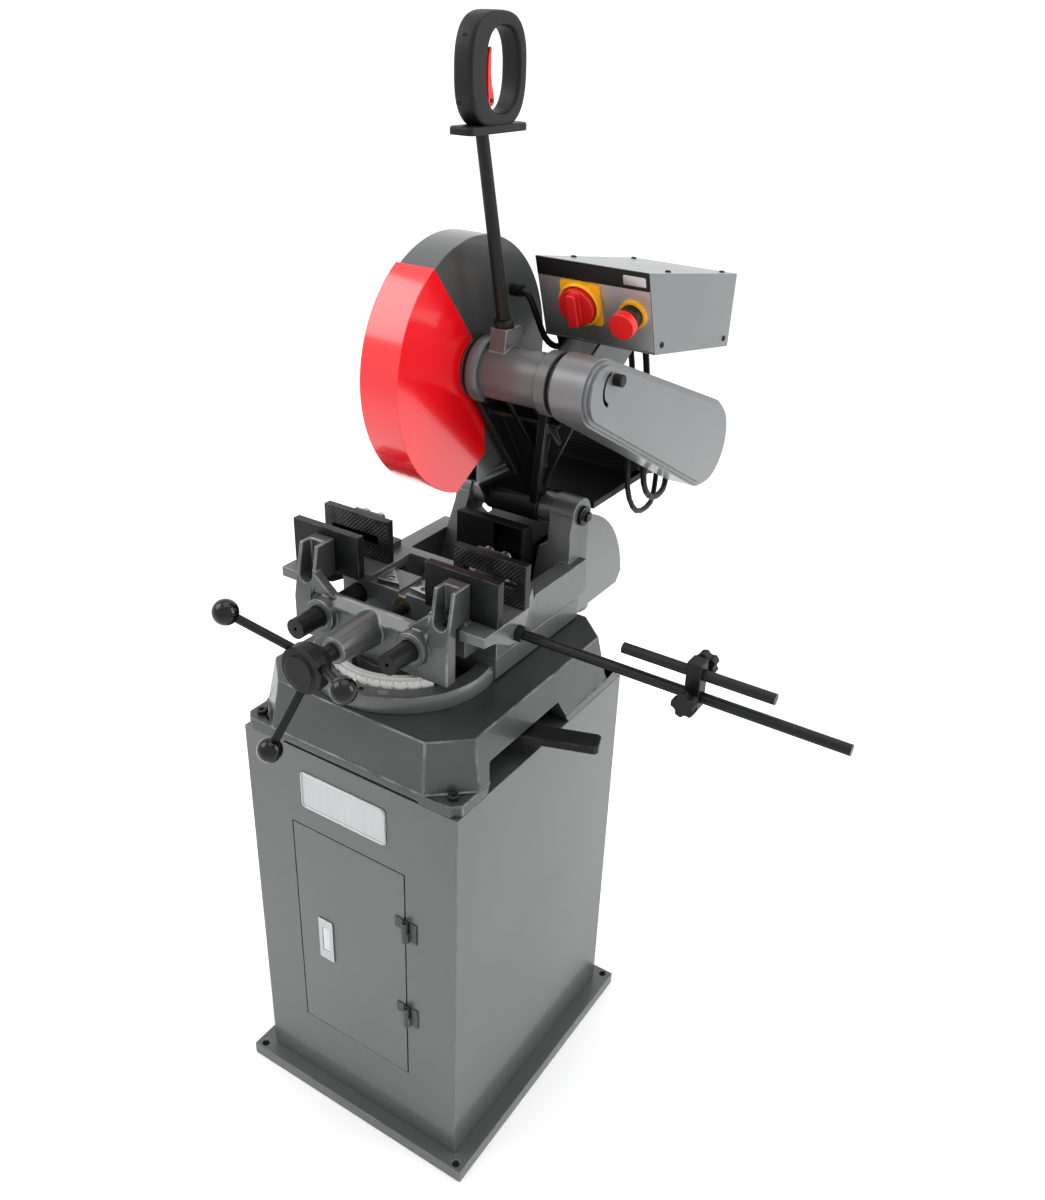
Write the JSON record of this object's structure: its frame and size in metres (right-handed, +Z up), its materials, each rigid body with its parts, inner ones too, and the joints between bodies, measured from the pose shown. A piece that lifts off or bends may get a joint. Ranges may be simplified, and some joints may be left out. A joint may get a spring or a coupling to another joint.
{
  "type": "cut-off saw",
  "caption": "Manual pull-down cut-off saw on a cabinet stand: swivelling bed top, double-jaw vise, belt-driven wheel head with retracting guard, work stop and spark outlet",
  "frame": {"origin": "middle of the anchor pattern, on the floor", "axes": "+X to the operator's right, +Y to the back, +Z up"},
  "size_m": [0.928, 0.951, 1.7912],
  "materials": {
    "cabinet_paint": "satin",
    "door_paint": "satin",
    "steel": "satin",
    "plate_steel": "satin",
    "latch_steel": "satin",
    "bed_paint": "satin",
    "cast_paint": "satin",
    "vise_paint": "satin",
    "hood_paint": "satin",
    "guard_grey": "satin",
    "black_steel": "satin",
    "bracket_steel": "satin",
    "block_steel": "satin",
    "black_paint": "satin",
    "motor_paint": "satin",
    "black_plastic": "satin",
    "ball_plastic": "gloss",
    "red_paint": "gloss",
    "red_plastic": "gloss",
    "yellow_plastic": "satin",
    "cover_paint": "satin",
    "panel_steel": "satin",
    "bronze": "satin",
    "abrasive": "matt",
    "bearing_steel": "satin",
    "white_plate": "satin",
    "belt_rubber": "matt",
    "cable_rubber": "satin"
  },
  "bodies": {
    "stand": {"floor_tray": "cabinet_paint", "cabinet_shell": "cabinet_paint", "hinge_leaves": "bracket_steel", "name_plate": "plate_steel", "bed_casting": "bed_paint", "bed_bolts": "black_steel", "degree_scale": "white_plate"},
    "door": {"cabinet_door": "door_paint", "door_leaves": "bracket_steel", "latch_plate": "plate_steel"},
    "latch": {"latch_paddle": "latch_steel"},
    "lever": {"lock_lever": "black_paint"},
    "table": {"turntable": "cast_paint", "scale_pointer": "white_plate", "table_casting": "cast_paint", "slot_blocks": "block_steel", "rear_jaws": "black_steel", "jaw_brackets": "bracket_steel", "bracket_bolts": "steel", "guide_bars": "black_steel", "vise_nut": "bronze", "spark_box": "black_paint", "spark_hood": "hood_paint", "pivot_pin": "steel", "pivot_caps": "black_steel", "stop_rail": "black_steel"},
    "vise": {"vise_casting": "vise_paint", "front_jaws": "black_steel", "jaw_screws": "black_steel"},
    "vise_drive": {"vise_screw": "black_steel", "handwheel_hub": "black_paint", "handwheel_spokes": "black_steel", "handwheel_balls": "ball_plastic"},
    "stop": {"stop_clamp": "black_paint", "clamp_knobs": "black_plastic"},
    "stop_bar": {"stop_rod": "black_steel"},
    "head": {"head_casting": "black_paint", "spindle_housing": "cast_paint", "spindle_bearings": "bearing_steel", "upper_guard": "guard_grey", "guard_cap": "black_paint", "belt_cover": "cover_paint", "cover_knob": "black_plastic", "motor": "motor_paint", "motor_mount": "black_paint", "drive_belt": "belt_rubber", "control_box": "cover_paint", "control_panel": "panel_steel", "switch_parts": "yellow_plastic", "handle": "black_plastic", "head_cables": "cable_rubber"},
    "guard": {"lower_guard": "red_paint"},
    "wheel": {"spindle": "steel", "cutting_wheel": "abrasive", "wheel_flanges": "steel", "spindle_pulley": "steel"},
    "motor_shaft": {"motor_pulley": "steel"},
    "knob": {"switch_knob": "red_plastic"},
    "estop": {"estop_cap": "red_plastic"},
    "trigger": {"trigger": "red_plastic"}
  },
  "joints": [
    {"name": "door_hinge", "type": "hinge", "parent": "stand", "child": "door", "pos_m": [0.115, -0.252, 0.385], "axis": [0, 0, 1], "range_deg": [0, 110]},
    {"name": "latch_hinge", "type": "hinge", "parent": "door", "child": "latch", "pos_m": [-0.0595, -0.246, 0.402], "axis": [1, 0, 0], "range_deg": [-30, 0], "stiffness_Nm_per_rad": 0.05},
    {"name": "lever_turn", "type": "hinge", "parent": "stand", "child": "lever", "pos_m": [0.07, -0.092, 0.8], "axis": [0, 0, 1], "range_deg": [-32, 12]},
    {"name": "swivel", "type": "hinge", "parent": "stand", "child": "table", "pos_m": [-0.018, -0.0735, 0.862], "axis": [0, 0, 1], "range_deg": [-20, 20]},
    {"name": "vise_slide", "type": "slide", "parent": "table", "child": "vise", "axis": [0, 1, 0], "range_m": [-0.04, 0.055]},
    {"name": "screw_turn", "type": "hinge", "parent": "vise", "child": "vise_drive", "pos_m": [-0.018, -0.3, 0.962], "axis": [0, 1, 0], "range_deg": [-2879, 3959]},
    {"name": "stop_slide", "type": "slide", "parent": "table", "child": "stop", "axis": [1, 0, 0], "range_m": [-0.1, 0.19]},
    {"name": "stop_bar_slide", "type": "slide", "parent": "stop", "child": "stop_bar", "axis": [1, 0, 0], "range_m": [-0.06, 0.1]},
    {"name": "head_pivot", "type": "hinge", "parent": "table", "child": "head", "pos_m": [-0.018, 0.2515, 1.038], "axis": [1, 0, 0], "range_deg": [0, 34]},
    {"name": "guard_turn", "type": "hinge", "parent": "head", "child": "guard", "pos_m": [-0.018, 0.0716, 1.31822], "axis": [1, 0, 0], "range_deg": [-66, 1]},
    {"name": "wheel_spin", "type": "hinge", "parent": "head", "child": "wheel", "pos_m": [-0.018, 0.0716, 1.31822], "axis": [1, 0, 0], "continuous": true},
    {"name": "motor_spin", "type": "hinge", "parent": "head", "child": "motor_shaft", "pos_m": [0.199, 0.4795, 1.127], "axis": [1, 0, 0], "continuous": true},
    {"name": "switch_turn", "type": "hinge", "parent": "head", "child": "knob", "pos_m": [0.137, 0.15873, 1.41734], "axis": [0, -0.9487, -0.3161], "range_deg": [0, 90]},
    {"name": "estop_push", "type": "slide", "parent": "head", "child": "estop", "axis": [0, 0.9487, 0.3161], "range_m": [0, 0.004], "stiffness_N_per_m": 1500},
    {"name": "trigger_pull", "type": "hinge", "parent": "head", "child": "trigger", "pos_m": [0.062, 0.0125, 1.68722], "axis": [1, 0, 0], "range_deg": [0, 7], "stiffness_Nm_per_rad": 1.2}
  ],
  "couplings": [
    {"joint": "vise_slide", "follows": "screw_turn", "m_per_rad": 0.00079577},
    {"joint": "guard_turn", "follows": "head_pivot", "ratio": -1.91},
    {"joint": "motor_spin", "follows": "wheel_spin", "ratio": 0.66667}
  ]
}
